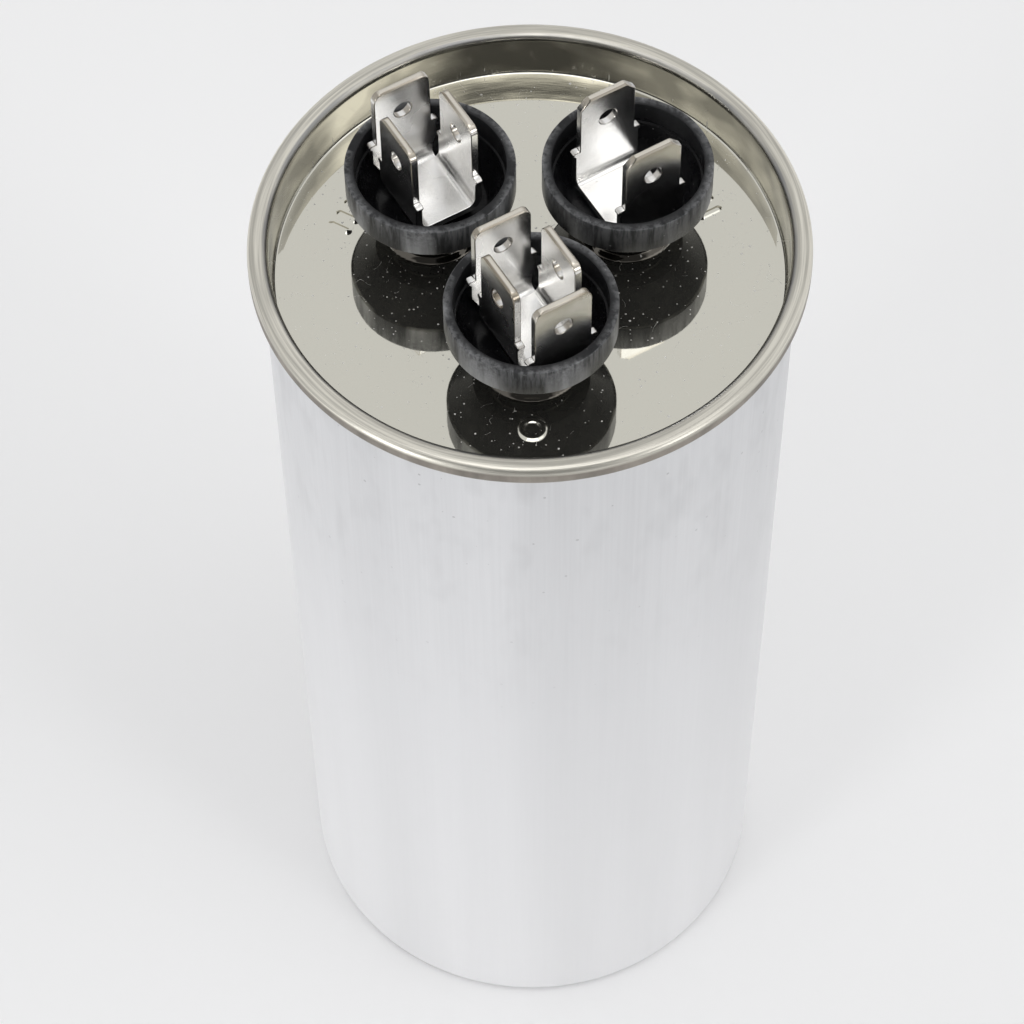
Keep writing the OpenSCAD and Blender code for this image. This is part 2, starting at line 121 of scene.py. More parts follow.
# Merges doubles, joins flat facets where asked, and turns all faces outwards.
def faceOut(mesh, joinFlat=False):
    bm = bmesh.new()
    bm.from_mesh(mesh)
    bmesh.ops.remove_doubles(bm, verts=bm.verts, dist=1e-6)
    if joinFlat:
        bmesh.ops.dissolve_limit(bm, angle_limit=math.radians(0.5), verts=bm.verts, edges=bm.edges)
    bmesh.ops.recalc_face_normals(bm, faces=bm.faces)
    bm.to_mesh(mesh)
    bm.free()
    mesh.update()


# Points on an arc: centre plus radius times (cos t, sin t), for t from start to stop in degrees.
def arc(centre, radius, start, stop, steps):
    t = np.radians(np.linspace(start, stop, steps + 1))
    return np.stack([centre[0] + radius * np.cos(t), centre[1] + radius * np.sin(t)], -1)


# The same polyline with extra points, so that no part of it is longer than step.
def spaced(points, step):
    out = [points[0]]
    for p, q in zip(points[:-1], points[1:]):
        n = max(1, int(math.ceil(np.hypot(*(q - p)) / step)))
        out += [p + (q - p) * i / n for i in range(1, n + 1)]
    return np.array(out)


# Surface of revolution: point (cx + r cos a, cy + r sin a, z) for each profile point (r, z) and angle a, where the
# wobble is added to r.
def turned(profile, cols, wobble, centre=(0, 0)):
    a = np.linspace(0, 2 * np.pi, cols, endpoint=False)
    r, z = profile[:, :1], profile[:, 1:2]
    rr = r + wobble(r, a[None, :], z)
    return np.stack([centre[0] + rr * np.cos(a), centre[1] + rr * np.sin(a), z + 0 * a], -1)


def shadeSmooth(mesh, angle):
    mesh.shade_smooth()
    mesh.set_sharp_from_angle(angle=math.radians(angle))


# Short names for building a node tree.
class Nodes:
    def __init__(self, tree):
        self.tree = tree
        tree.nodes.clear()

    def add(self, kind, **values):
        node = self.tree.nodes.new("ShaderNode" + kind)
        for key, value in values.items():
            setattr(node, key, value)
        return node

    def link(self, source, target):
        self.tree.links.new(source, target)

    def coords(self, scale=(1, 1, 1), place=(0, 0, 0)):
        base = self.add("TexCoord")
        mapping = self.add("Mapping")
        mapping.inputs["Scale"].default_value = scale
        mapping.inputs["Location"].default_value = place
        self.link(base.outputs["Object"], mapping.inputs["Vector"])
        return mapping.outputs["Vector"]

    def noise(self, vector, scale, detail, rough):
        node = self.add("TexNoise")
        node.inputs["Scale"].default_value = scale
        node.inputs["Detail"].default_value = detail
        node.inputs["Roughness"].default_value = rough
        self.link(vector, node.inputs["Vector"])
        return node.outputs["Fac"]

    # X, Y and Z of the point being shaded, in metres.
    def split(self):
        node = self.add("SeparateXYZ")
        self.link(self.add("TexCoord").outputs["Object"], node.inputs[0])
        return [node.outputs[k] for k in "XYZ"]

    # Distance from the can's axis.
    def radius(self):
        x, y, z = self.split()
        return self.maths("SQRT", self.maths("ADD", self.maths("MULTIPLY", x, x), self.maths("MULTIPLY", y, y)))

    # Noise drawn out round the axis, so that it reads as turning rings.
    def ringNoise(self, scale, along):
        x, y, z = self.split()
        radius = self.radius()
        around = [self.maths("MULTIPLY", self.maths("DIVIDE", v, radius), along) for v in (x, y)]
        join = self.add("CombineXYZ")
        for k, v in zip("XYZ", (*around, self.maths("SUBTRACT", z, radius))):
            self.link(v, join.inputs[k])
        return self.noise(join.outputs[0], scale, 3, 0.6)

    # Round spots of a size between least and most, in a share of the cells; flat 0 ignores height.
    def specks(self, scale, least, most, share, where=(0, 0, 0), flat=1):
        cells = self.add("TexVoronoi")
        cells.inputs["Scale"].default_value = scale
        self.link(self.coords((1, 1, flat), where), cells.inputs["Vector"])
        pick = self.add("SeparateColor")
        self.link(cells.outputs["Color"], pick.inputs["Color"])
        size = self.ramp(pick.outputs[1], 0, 1, least, most)
        inside = self.maths("LESS_THAN", cells.outputs["Distance"], size)
        return self.maths("MULTIPLY", inside, self.maths("GREATER_THAN", pick.outputs[0], 1 - share))

    # Thin curved lines where a noise crosses its middle, kept in a share of the surface.
    def hairs(self, scale, thin, share):
        line = self.maths("ABSOLUTE", self.maths("SUBTRACT", self.noise(self.coords(), scale, 1, 0.4), 0.5))
        field = self.noise(self.coords((1, 1, 1), (0.3, 0.1, 0)), scale * 1.6, 1, 0.5)
        mask = self.ramp(field, 1 - share, 1 - share + 0.02)
        return self.maths("MULTIPLY", self.maths("LESS_THAN", line, thin), mask)

    def ramp(self, value, low, high, bottom=0.0, top=1.0):
        node = self.add("MapRange")
        node.clamp = True
        for key, number in (("From Min", low), ("From Max", high), ("To Min", bottom), ("To Max", top)):
            node.inputs[key].default_value = number
        self.link(value, node.inputs["Value"])
        return node.outputs["Result"]

    def maths(self, operation, a, b=0.0):
        node = self.add("Math", operation=operation)
        for i, x in enumerate((a, b)):
            if isinstance(x, (int, float)):
                node.inputs[i].default_value = x
            else:
                self.link(x, node.inputs[i])
        return node.outputs[0]

    def mixColour(self, factor, a, b):
        node = self.add("Mix", data_type="RGBA")
        for i, x in ((0, factor), (6, a), (7, b)):
            if isinstance(x, (int, float)):
                node.inputs[i].default_value = x
            elif isinstance(x, tuple):
                node.inputs[i].default_value = (*x, 1)
            else:
                self.link(x, node.inputs[i])
        return node.outputs[2]

    def shade(self, colour, amount):
        if isinstance(colour, tuple):
            return tuple(v * amount for v in colour)
        node = self.add("VectorMath", operation="SCALE")
        node.inputs["Scale"].default_value = amount
        self.link(colour, node.inputs[0])
        return node.outputs[0]

    def bump(self, height, distance, strength=1.0, normal=None):
        node = self.add("Bump")
        node.inputs["Strength"].default_value = strength
        node.inputs["Distance"].default_value = distance
        self.link(height, node.inputs["Height"])
        if normal is not None:
            self.link(normal, node.inputs["Normal"])
        return node.outputs["Normal"]

    def surface(self, metallic, roughness, colour, normal=None):
        shader = self.add("BsdfPrincipled")
        for key, x in (("Metallic", metallic), ("Roughness", roughness), ("Base Color", colour)):
            if isinstance(x, (int, float)):
                shader.inputs[key].default_value = x
            elif isinstance(x, tuple):
                shader.inputs[key].default_value = (*x, 1)
            else:
                self.link(x, shader.inputs[key])
        if normal is not None:
            self.link(normal, shader.inputs["Normal"])
        out = self.add("OutputMaterial")
        self.link(shader.outputs[0], out.inputs["Surface"])
        return shader


def material(name):
    made = bpy.data.materials.new(name)
    made.use_nodes = True
    return made, Nodes(made.node_tree)


# Drawn aluminium: fine upright lines, dark specks and scuffs near the rim, smoother towards the foot; the colour is
# painted darker at the top and paler at the foot, a painted shade under the rim and painted light low down.
def canAluminium():
    look = {
        "top": (0.795, 0.80, 0.815), "foot": (0.94, 0.94, 0.95), "dull": 0.90, "metal": (0.92, 0.42),
        "roughness": 0.44, "roughSpread": 0.05,
        "lines": 2600, "broad": 320, "cloud": 60,
        "grit": 900, "gritColour": (0.30, 0.30, 0.31), "gritAmount": 0.45,
        "scuff": 240, "scuffDull": 0.6, "scuffAmount": 0.22,
        "stripes": 42, "stripeDull": 0.55, "stripeAmount": 0.16,
        "lineDepth": 0.006, "broadDepth": 0.02,
    }
    made, n = material("canAluminium")
    z = n.split()[2]
    up = n.ramp(z, 0.0, canTop * mm)
    drawn = n.ramp(z, 0.55 * canTop * mm, 0.95 * canTop * mm)
    lines = n.noise(n.coords((1, 1, 0.015)), look["lines"], 4, 0.65)
    broad = n.noise(n.coords((1, 1, 0.04)), look["broad"], 3, 0.5)
    cloud = n.noise(n.coords((1, 1, 0.6)), look["cloud"], 4, 0.55)
    shares = [n.maths("MULTIPLY", n.ramp(v, 0.3, 0.7), w) for v, w in ((lines, 0.4), (broad, 0.35), (cloud, 0.25))]
    tone = n.maths("ADD", n.maths("ADD", shares[0], shares[1]), shares[2])
    # painted shade and light: the colour runs from darker at the top, under the rim, to paler at the foot
    base = n.mixColour(up, look["foot"], look["top"])
    depth = n.maths("ADD", n.maths("MULTIPLY", drawn, 0.75), 0.25)
    colour = n.mixColour(n.maths("MULTIPLY", n.maths("SUBTRACT", 1.0, tone), depth), base, n.shade(base, look["dull"]))
    grit = n.maths("MULTIPLY", n.specks(look["grit"], 0.05, 0.16, 0.12), drawn)
    colour = n.mixColour(n.maths("MULTIPLY", grit, look["gritAmount"]), colour, look["gritColour"])
    scuff = n.maths("MULTIPLY", n.ramp(n.noise(n.coords((1, 1, 0.4)), look["scuff"], 2, 0.7), 0.5, 0.7), drawn)
    colour = n.mixColour(n.maths("MULTIPLY", scuff, look["scuffAmount"]), colour, n.shade(base, look["scuffDull"]))
    stripes = n.noise(n.coords((1, 1, 0.06)), look["stripes"], 2, 0.5)
    stripes = n.ramp(stripes, 0.42, 0.6, 0.0, look["stripeAmount"])
    colour = n.mixColour(stripes, colour, n.shade(base, look["stripeDull"]))
    rough = n.ramp(tone, 0.2, 0.9, look["roughness"] + look["roughSpread"], look["roughness"] - look["roughSpread"])
    normal = n.bump(lines, look["lineDepth"] * mm, 0.5)
    normal = n.bump(broad, look["broadDepth"] * mm, 0.35, normal)
    n.surface(n.ramp(up, 0.25, 0.95, look["metal"][1], look["metal"][0]), rough, colour, normal)
    return made


# Bright plated sheet: a mirror on the panel, duller up the well with painted reflection streaks, satin on the rim with
# a painted dark line at its inner edge, brownish on the outer roll with painted shade, and painted shade on the bosses
# under the cups.
def coverSteel():
    look = {
        "colour": (0.745, 0.73, 0.65), "well": (0.46, 0.44, 0.38), "wellSpread": (0.72, 1.45),
        "rim": (0.74, 0.715, 0.64), "rimSpread": (0.68, 1.1), "roll": (0.23, 0.21, 0.185), "rollSpread": 1.6,
        "grime": (0.13, 0.12, 0.105), "line": (0.16, 0.17, 0.20),
        "dust": (0.80, 0.79, 0.76), "nick": (0.08, 0.07, 0.06),
        "haze": 0.035, "roughness": 0.035, "wellRough": 0.15, "rimRough": 0.20, "rollRough": 0.30,
        "dustRough": 0.5, "scratchRough": 0.12,
        "rings": 2600, "ringDepth": 0.012, "bands": 700, "bandDepth": 0.06, "smudge": 260, "reflectionStreaks": 130,
        "orange": 900, "orangeDepth": 0.001, "swell": 90, "swellDepth": 0.01,
        "dustScale": (1100, 2300), "hairScale": 340, "nickScale": 330, "scratchScale": 3200, "bossFootR": 17.2,
    }
    made, n = material("coverSteel")
    z = n.split()[2]
    radius = n.radius()

    # one where the value, in millimetres, has passed from low to high, and nought before
    def past(value, low, high):
        return n.ramp(value, low * mm, high * mm)

    def both(*masks):
        out = masks[0]
        for mask in masks[1:]:
            out = n.maths("MULTIPLY", out, mask)
        return out

    inWell = both(past(z, panelZ + 0.12, panelZ + 0.5), past(radius, wellR - 0.3, wellR - 0.1))
    onRim = both(past(radius, chuckR + 0.02, chuckR + 0.4), past(z, canTop - 0.9, canTop - 0.5))
    onRoll = both(past(radius, rimR - 0.5, rimR - 0.1), past(z, canTop - 0.55, canTop - 0.85))
    # painted shade: the boss slopes under the cups are darkened where the cups shut out the light above
    onBoss = both(past(z, panelZ + 0.008, panelZ + 0.04), past(radius, look["bossFootR"] + 0.4, look["bossFootR"]))
    # painted shade: a dark line on the inner rounding of the rim
    creaseShade = both(past(radius, chuckR + 0.62, chuckR + 0.50), past(radius, chuckR + 0.14, chuckR + 0.26))
    edge = n.maths("MAXIMUM", inWell, n.maths("MAXIMUM", onRim, onRoll))

    rings = n.ringNoise(look["rings"], 0.0006)
    bands = n.ringNoise(look["bands"], 0.004)
    smudge = n.noise(n.coords((1, 1, 0.5)), look["smudge"], 4, 0.6)
    # painted reflection: light and dark upright streaks on the well
    reflectionStreaks = n.ramp(n.noise(n.coords((1, 1, 1.6)), look["reflectionStreaks"], 2, 0.5), 0.40, 0.60)
    coarse, fine = look["dustScale"]
    fineDust = n.maths("MULTIPLY", n.specks(fine, 0.08, 0.24, 0.25, (0.01, 0, 0), 0), 0.65)
    dust = n.maths("MAXIMUM", n.specks(coarse, 0.05, 0.15, 0.40, flat=0), fineDust)
    dust = n.maths("MAXIMUM", dust, n.maths("MULTIPLY", n.hairs(look["hairScale"], 0.0016, 0.40), 0.6))
    dust = both(dust, past(z, panelZ + 1.2, panelZ + 0.8))
    nicks = n.maths("MULTIPLY", n.specks(look["nickScale"], 0.015, 0.035, 0.10, (0, 0.02, 0), 0), 0.7)
    scratch = n.ramp(n.noise(n.coords((0.12, 1, 1)), look["scratchScale"], 2, 0.6), 0.75, 0.78)
    creaseShade = both(creaseShade, past(z, canTop - 0.6, canTop - 0.4), n.ramp(bands, 0.35, 0.6, 0.2, 0.6))

    wellTone = n.mixColour(reflectionStreaks, *(n.shade(look["well"], v) for v in look["wellSpread"]))
    rimTone = n.mixColour(n.ramp(rings, 0.38, 0.62), *(n.shade(look["rim"], v) for v in look["rimSpread"]))
    # outer roll: dull brownish scuffed steel, with painted shade darkening it further
    rollWearAndShade = n.mixColour(n.ramp(smudge, 0.35, 0.65), look["roll"], n.shade(look["roll"], look["rollSpread"]))
    colour = n.mixColour(inWell, look["colour"], wellTone)
    for mask, tone in (
        (onBoss, look["grime"]), (onRim, rimTone), (creaseShade, look["line"]), (onRoll, rollWearAndShade),
        (dust, look["dust"]), (nicks, look["nick"]),
    ):
        colour = n.mixColour(mask, colour, tone)

    rough = look["roughness"]
    for mask, key in (
        (onRim, "rimRough"), (onRoll, "rollRough"), (inWell, "wellRough"),
        (dust, "dustRough"), (scratch, "scratchRough"),
    ):
        rough = n.maths("ADD", rough, n.maths("MULTIPLY", mask, look[key]))

    normal = n.bump(n.noise(n.coords(), look["orange"], 2, 0.5), look["orangeDepth"] * mm, 1.0)
    normal = n.bump(n.noise(n.coords(), look["swell"], 2, 0.5), look["swellDepth"] * mm, 1.0, normal)
    normal = n.bump(both(bands, edge), look["bandDepth"] * mm, 0.5, normal)
    normal = n.bump(both(rings, edge), look["ringDepth"] * mm, 0.5, normal)
    n.surface(n.maths("SUBTRACT", 1.0 - look["haze"], n.maths("MULTIPLY", dust, 0.9)), rough, colour, normal)
    return made


# Satin black moulding: greyed and grainy on the rim, with wear and painted sheen in upright patches on the band, a
# painted highlight along the outer top edge, darker and glossy inside.
def blackPlastic():
    look = {
        "colour": (0.007, 0.007, 0.008), "rub": (0.45, 0.455, 0.465), "rim": (0.020, 0.0205, 0.022),
        "lint": (0.30, 0.30, 0.30), "roughness": 0.22, "roughSpread": 0.12, "wornRough": 0.2, "shine": 0.18,
        "grain": 2400, "sheen": 190, "fine": 1500, "smear": 420, "lintScale": (1500, 420),
        "patchAmount": 0.85, "withinAmount": 0.05, "lintAmount": 0.5, "grainDepth": 0.010, "smearDepth": 0.02,
    }
    made, n = material("blackPlastic")
    zone = n.add("Attribute", attribute_name="zone")
    split = n.add("SeparateColor")
    n.link(zone.outputs["Color"], split.inputs["Color"])
    band, rim, lip = split.outputs
    grain = n.noise(n.coords(), look["grain"], 4, 0.7)
    sheen = n.noise(n.coords((1, 1, 0.22)), look["sheen"], 2, 0.5)
    fine = n.noise(n.coords((1, 1, 0.12)), look["fine"], 4, 0.7)
    smear = n.noise(n.coords(), look["smear"], 4, 0.65)
    # painted sheen: lighter upright patches on the band, partly wear
    patch = n.maths("MULTIPLY", n.ramp(sheen, 0.50, 0.64), n.ramp(fine, 0.32, 0.68, 0.75, 1.0))
    sheenAndWear = n.maths("ADD", n.maths("MULTIPLY", patch, look["patchAmount"]), n.ramp(fine, 0.4, 0.8, 0.0, 0.12))
    onBand = n.maths("MULTIPLY", band, sheenAndWear)
    onRim = n.maths("MULTIPLY", rim, n.ramp(grain, 0.35, 0.65, 0.5, 1.0))
    # painted highlight: a patchy lighter line along the outer top edge
    lipHighlight = n.maths("MULTIPLY", lip, n.ramp(fine, 0.42, 0.58, 0.05, 0.26))
    within = n.maths("MULTIPLY", n.ramp(smear, 0.54, 0.80), look["withinAmount"])
    fluff, hair = look["lintScale"]
    lint = n.maths("MAXIMUM", n.specks(fluff, 0.05, 0.16, 0.10), n.maths("MULTIPLY", n.hairs(hair, 0.0014, 0.36), 0.5))
    colour = look["colour"]
    for mask, key in ((within, "rub"), (onBand, "rub"), (onRim, "rim"), (lipHighlight, "rub")):
        colour = n.mixColour(mask, colour, look[key])
    colour = n.mixColour(n.maths("MULTIPLY", lint, look["lintAmount"]), colour, look["lint"])
    rough = n.ramp(smear, 0.3, 0.7, look["roughness"], look["roughness"] + look["roughSpread"])
    rough = n.maths("ADD", rough, n.maths("MULTIPLY", n.maths("MAXIMUM", onBand, onRim), look["wornRough"]))
    normal = n.bump(grain, look["grainDepth"] * mm, 0.6)
    normal = n.bump(smear, look["smearDepth"] * mm, 0.5, normal)
    shader = n.surface(0.0, rough, colour, normal)
    shader.inputs["Specular IOR Level"].default_value = look["shine"]
    return made


# Bright tin over brass: satin, slightly cloudy, with faint rolling lines, small dents, edges painted dark brown as
# painted shade, and warm tips.
def tabPlating():
    look = {
        "colour": (0.97, 0.965, 0.955), "dull": (0.84, 0.825, 0.79), "tip": (0.72, 0.66, 0.55), "tipAmount": 0.7,
        "edge": (0.30, 0.265, 0.21), "dent": (0.35, 0.33, 0.30), "dentAmount": 0.35, "roughness": 0.23,
        "faceTurns": (30, 120), "tipH": 1.0, "bladeH": 7.0,
        "cloud": 420, "broad": 140, "fine": 3800, "dents": 1300,
        "fineDepth": 0.004, "cloudDepth": 0.02, "dentDepth": 0.02,
    }
    made, n = material("tabPlating")
    z = n.split()[2]
    tip = n.maths("MULTIPLY", n.ramp(z, (tabTop - look["tipH"]) * mm, (tabTop - 0.1) * mm), look["tipAmount"])
    cloud = n.noise(n.coords(), look["cloud"], 4, 0.6)
    broad = n.noise(n.coords(), look["broad"], 3, 0.5)
    fine = n.noise(n.coords((1, 1, 0.25)), look["fine"], 2, 0.5)
    dents = n.specks(look["dents"], 0.05, 0.16, 0.10)
    # flat faces point along one of three ways; what points between them is an edge
    facing = n.add("TexCoord").outputs["Normal"]
    ways = [(math.cos(math.radians(turn)), math.sin(math.radians(turn)), 0) for turn in look["faceTurns"]]
    flatness = 0.0
    for way in (*ways, (0, 0, 1)):
        dot = n.add("VectorMath", operation="DOT_PRODUCT")
        n.link(facing, dot.inputs[0])
        dot.inputs[1].default_value = way
        flatness = n.maths("MAXIMUM", n.maths("ABSOLUTE", dot.outputs["Value"]), flatness)
    onBlade = n.ramp(z, (tabTop - look["bladeH"] - 1) * mm, (tabTop - look["bladeH"]) * mm)
    # painted shade: the edges, where the faces turn, are darkened brownish
    edge = n.maths("MULTIPLY", n.ramp(flatness, 0.985, 0.90), onBlade)
    edge = n.maths("MULTIPLY", edge, n.ramp(broad, 0.3, 0.6, 0.35, 1.0))
    colour = n.mixColour(n.ramp(cloud, 0.35, 0.7, 0.0, 0.45), look["colour"], look["dull"])
    for mask, key in ((tip, "tip"), (n.maths("MULTIPLY", dents, look["dentAmount"]), "dent"), (edge, "edge")):
        colour = n.mixColour(mask, colour, look[key])
    rough = n.ramp(broad, 0.3, 0.7, look["roughness"] - 0.04, look["roughness"] + 0.08)
    normal = n.bump(fine, look["fineDepth"] * mm, 0.8)
    normal = n.bump(cloud, look["cloudDepth"] * mm, 0.6, normal)
    normal = n.bump(dents, look["dentDepth"] * mm, 0.6, normal)
    n.surface(1.0, rough, colour, normal)
    return made


# Finish of a piece inside the can: two tones of noise with a fine bump, of a depth in millimetres.
def plainFinish(name, colour, other, roughness, metallic, scale, stretch=(1, 1, 1), depth=0.01):
    made, n = material(name)
    tone = n.noise(n.coords(stretch), scale, 4, 0.6)
    n.surface(
        metallic,
        n.ramp(tone, 0.3, 0.7, roughness - 0.05, roughness + 0.08),
        n.mixColour(n.ramp(tone, 0.35, 0.65), colour, other),
        n.bump(tone, depth * mm, 0.7),
    )
    return made


finishes = {
    "can_aluminium": canAluminium(),
    "cover_steel": coverSteel(),
    "black_plastic": blackPlastic(),
    "tab_plating": tabPlating(),
    "rivet_steel": plainFinish("rivetSteel", (0.68, 0.67, 0.64), (0.56, 0.55, 0.52), 0.28, 1.0, 900),
    "gasket_rubber": plainFinish("gasketRubber", (0.02, 0.02, 0.02), (0.035, 0.035, 0.035), 0.75, 0.0, 1800, depth=0.02),
    "washer_board": plainFinish("washerBoard", (0.42, 0.25, 0.11), (0.34, 0.19, 0.08), 0.6, 0.0, 1200, (1, 1, 6), 0.02),
    "tag_brass": plainFinish("tagBrass", (0.74, 0.55, 0.27), (0.62, 0.45, 0.21), 0.3, 1.0, 700),
    "tinned_copper": plainFinish("tinnedCopper", (0.72, 0.70, 0.66), (0.60, 0.57, 0.52), 0.32, 1.0, 800),
    "film": plainFinish("film", (0.62, 0.61, 0.57), (0.53, 0.52, 0.48), 0.3, 0.0, 500, (1, 1, 8), 0.015),
    "zinc": plainFinish("zinc", (0.40, 0.41, 0.43), (0.29, 0.30, 0.32), 0.6, 1.0, 2200, depth=0.06),
    "wrap_film": plainFinish("wrapFilm", (0.72, 0.64, 0.34), (0.66, 0.57, 0.28), 0.2, 0.0, 120, depth=0.02),
    "white_plastic": plainFinish("whitePlastic", (0.70, 0.69, 0.65), (0.64, 0.63, 0.59), 0.42, 0.0, 1500, depth=0.01),
}
for part in frame["record"]["subparts"]:
    if part["node"] in frame["nodes"]:
        mesh = frame["nodes"][part["node"]].data
        mesh.materials.clear()
        mesh.materials.append(finishes[part["material_slot"]])
print("finishes:", len(finishes))


# Point (r cos a, r sin a, z) of the wall's section, base to flange and back, for each angle a. On the straight wall
# r rises and falls by wave sin(3a) sin(z/17) plus ripple sin(7a + z/23), with smooth ends.
def makeCan():
    t, b, r = can["wall"], can["base"], can["cornerR"]
    neck = canR - can["press"]
    hook = (neck - t + hookR, hookZ)
    endZ = rimBaseZ + rollR
    outer = np.vstack([
        [[can["poleR"], 0]],
        arc((canR - r, r), r, -90, 0, 8),
        [[canR, rimBaseZ - can["pressH"]], [neck, rimBaseZ]],
        arc(hook, hookR - t, 180, 0, 8),
        [[neck + 2 * hookR - 2 * t, endZ], [neck + 2 * hookR - t, endZ]],
        arc(hook, hookR, 0, 180, 8),
        [[neck - t, rimBaseZ], [canR - t, rimBaseZ - can["pressH"]]],
        arc((canR - r, r + b - t), r - t, 0, -90, 6),
        [[can["poleR"], b]],
    ])
    profile = spaced(outer, can["step"])

    def waves(r, a, z):
        middle = np.clip((z - 3) / 12, 0, 1) * np.clip((rimBaseZ - 3 - z) / 8, 0, 1) * (r > canR - 1)
        wave = can["wave"] * np.sin(3 * a + 0.7) * np.sin(z / 17 + 0.4)
        return middle * (wave + can["ripple"] * np.sin(7 * a + z / 23))

    mesh = gridMesh("canShell", turned(profile, can["cols"], waves) * mm, caps=(True, True))
    faceOut(mesh)
    shadeSmooth(mesh, 50)
    return newPiece("canShell", mesh, "can", finishes["can_aluminium"])


makeCan()
print("can made")


marks = {
    "circleR": 19.6, "ringD": 2.8, "barL": 2.3, "w": 0.6, "h": 0.18, "pitch": 1.6, "soft": 0.28,
    "bars": {"herm": 7, "fan": 5}, "span": (18.1, 21.1),
    "halfTurn": {"fan": 0.24, "herm": 0.34, "common": 0.10},  # in the order of their angles
}


# Distance of each point from the middle line of a bar: hypot of how far it lies past the ends and to the side.
def barDistance(x, y, centre, angle, length):
    dx, dy = x - centre[0], y - centre[1]
    along = dx * math.cos(angle) + dy * math.sin(angle)
    across = -dx * math.sin(angle) + dy * math.cos(angle)
    over = np.maximum(np.abs(along) - length / 2, 0)
    return np.hypot(over, across)


# Height of the cover's face above its flat panel: h (1 + cos(pi u)) / 2 for bosses and marks, where u runs from
# nought on the flat top to one at the foot of the slope, plus a faint unevenness sin(x) cos(y).
def relief(x, y):
    h = np.zeros_like(x)
    for cup in cups.values():
        d = np.hypot(x - cup["centre"][0], y - cup["centre"][1])
        u = np.clip((d - cover["bossR"]) / cover["slope"], 0, 1)
        h = np.maximum(h, cover["bossH"] * (1 + np.cos(np.pi * u)) / 2)
    at = cups["common"]["centre"]
    at = at / np.hypot(*at) * marks["circleR"]
    d = np.abs(np.hypot(x - at[0], y - at[1]) - (marks["ringD"] - marks["w"]) / 2)
    for name, count in marks["bars"].items():
        out = cups[name]["centre"] / np.hypot(*cups[name]["centre"])
        side = np.array([-out[1], out[0]])
        angle = math.atan2(out[1], out[0])
        for i in range(count):
            centre = out * marks["circleR"] + side * (i - (count - 1) / 2) * marks["pitch"]
            d = np.minimum(d, barDistance(x, y, centre, angle, marks["barL"] - marks["w"]))
    bead = marks["h"] * (1 + np.cos(np.pi * np.clip(d / (marks["w"] / 2 + marks["soft"]), 0, 1))) / 2
    return h + bead + cover["uneven"] * np.sin(x / 5.1 + 0.4) * np.cos(y / 6.3)


# Increasing numbers over stretches given as (start, stop, step), closed with the last number.
def denseSteps(stretches, last):
    out = []
    for start, stop, step in stretches:
        n = max(1, int(round((stop - start) / step)))
        out += list(np.linspace(start, stop, n, endpoint=False))
    return np.array(out + [last])


# Point (r cos a, r sin a, z) of the cover's section for each angle a, with the relief's height added on the panel. The
# section runs from the middle over panel, well, rolled rim and hook, and back along the underside. Angles lie closer
# together where they cross a mark.
def makeCover():
    t = cover["t"]
    fillet = (wellR - cover["filletR"], panelZ + cover["filletR"])
    inner = (chuckR + cover["edgeR"], canTop - cover["edgeR"])
    outer = (rimR - cover["edgeR"], canTop - cover["edgeR"])
    roll = (rimR - rollR, rimBaseZ + rollR)
    start, stop = marks["span"]
    plain = [(cover["poleR"], 5.8, 0.55), (5.8, 17.2, 0.22), (17.2, start, 0.3)]
    flatR = denseSteps(plain + [(start, stop, 0.085), (stop, fillet[0], 0.5)], fillet[0])
    flat = np.stack([flatR, np.full_like(flatR, panelZ)], -1)
    wall = np.vstack([
        arc(fillet, cover["filletR"], -90, 0, 6)[1:],
        [[chuckR, rimBaseZ]],
        arc(inner, cover["edgeR"], 180, 90, 8),
        arc(outer, cover["edgeR"], 90, 0, 10),
        arc(roll, rollR, 0, -180, 12),
        [[rimR - 2 * rollR, hookZ], [rimR - 2 * rollR + t, hookZ]],
        arc(roll, rollR - t, -180, 0, 8),
        arc(outer, cover["edgeR"] - t, 0, 90, 6),
        arc(inner, cover["edgeR"] - t, 90, 180, 6),
        [[chuckR + t, rimBaseZ]],
        arc(fillet, cover["filletR"] + t, 0, -90, 5),
    ])
    underR = np.array([18, 14, 10, 6, 3, cover["poleR"]])
    under = np.stack([underR, np.full(len(underR), panelZ - t)], -1)
    profile = np.vstack([flat, wall, under])
    stretches, at = [], 0.0
    for name, half in marks["halfTurn"].items():
        c = cups[name]["centre"]
        middle = math.atan2(c[1], c[0]) % (2 * np.pi)
        stretches += [(at, middle - half, cover["turn"]), (middle - half, middle + half, cover["fineTurn"])]
        at = middle + half
    a = denseSteps(stretches + [(at, 2 * np.pi, cover["turn"])], 2 * np.pi)[:-1]
    r, z = profile[:, :1], profile[:, 1:2]
    x, y = r * np.cos(a), r * np.sin(a)
    z = z + 0 * x
    top = len(flatR)
    z[:top] += relief(x[:top], y[:top])
    mesh = gridMesh("coverSheet", np.stack([x, y, z], -1) * mm, caps=(True, True))
    faceOut(mesh)
    shadeSmooth(mesh, 60)
    print("cover grid", r.shape[0], len(a))
    return newPiece("coverSheet", mesh, "cover", finishes["cover_steel"])


makeCover()
print("cover made")


cupShape = {
    "wall": 0.95, "bandH": 3.5, "ledgeDepth": 2.6, "ledgeW": 0.25, "floorH": 3.75, "floorD": 11.2, "floorT": 0.9,
    "straightH": 0.8, "underW": 0.3, "lipIn": 0.3, "lipH": 0.15, "edgeR": 0.1, "corner": 0.3,
    "stemR": 4.2, "spigotR": 2.6, "boreR": 1.6, "headR": 3.1, "headDrop": 0.5, "innerR": 0.06,
    "wave": 0.01, "ripple": 0.006, "cols": 192, "bandSkin": 0.12, "rimSkin": 0.15, "lipSkin": (0.11, 0.12),
}


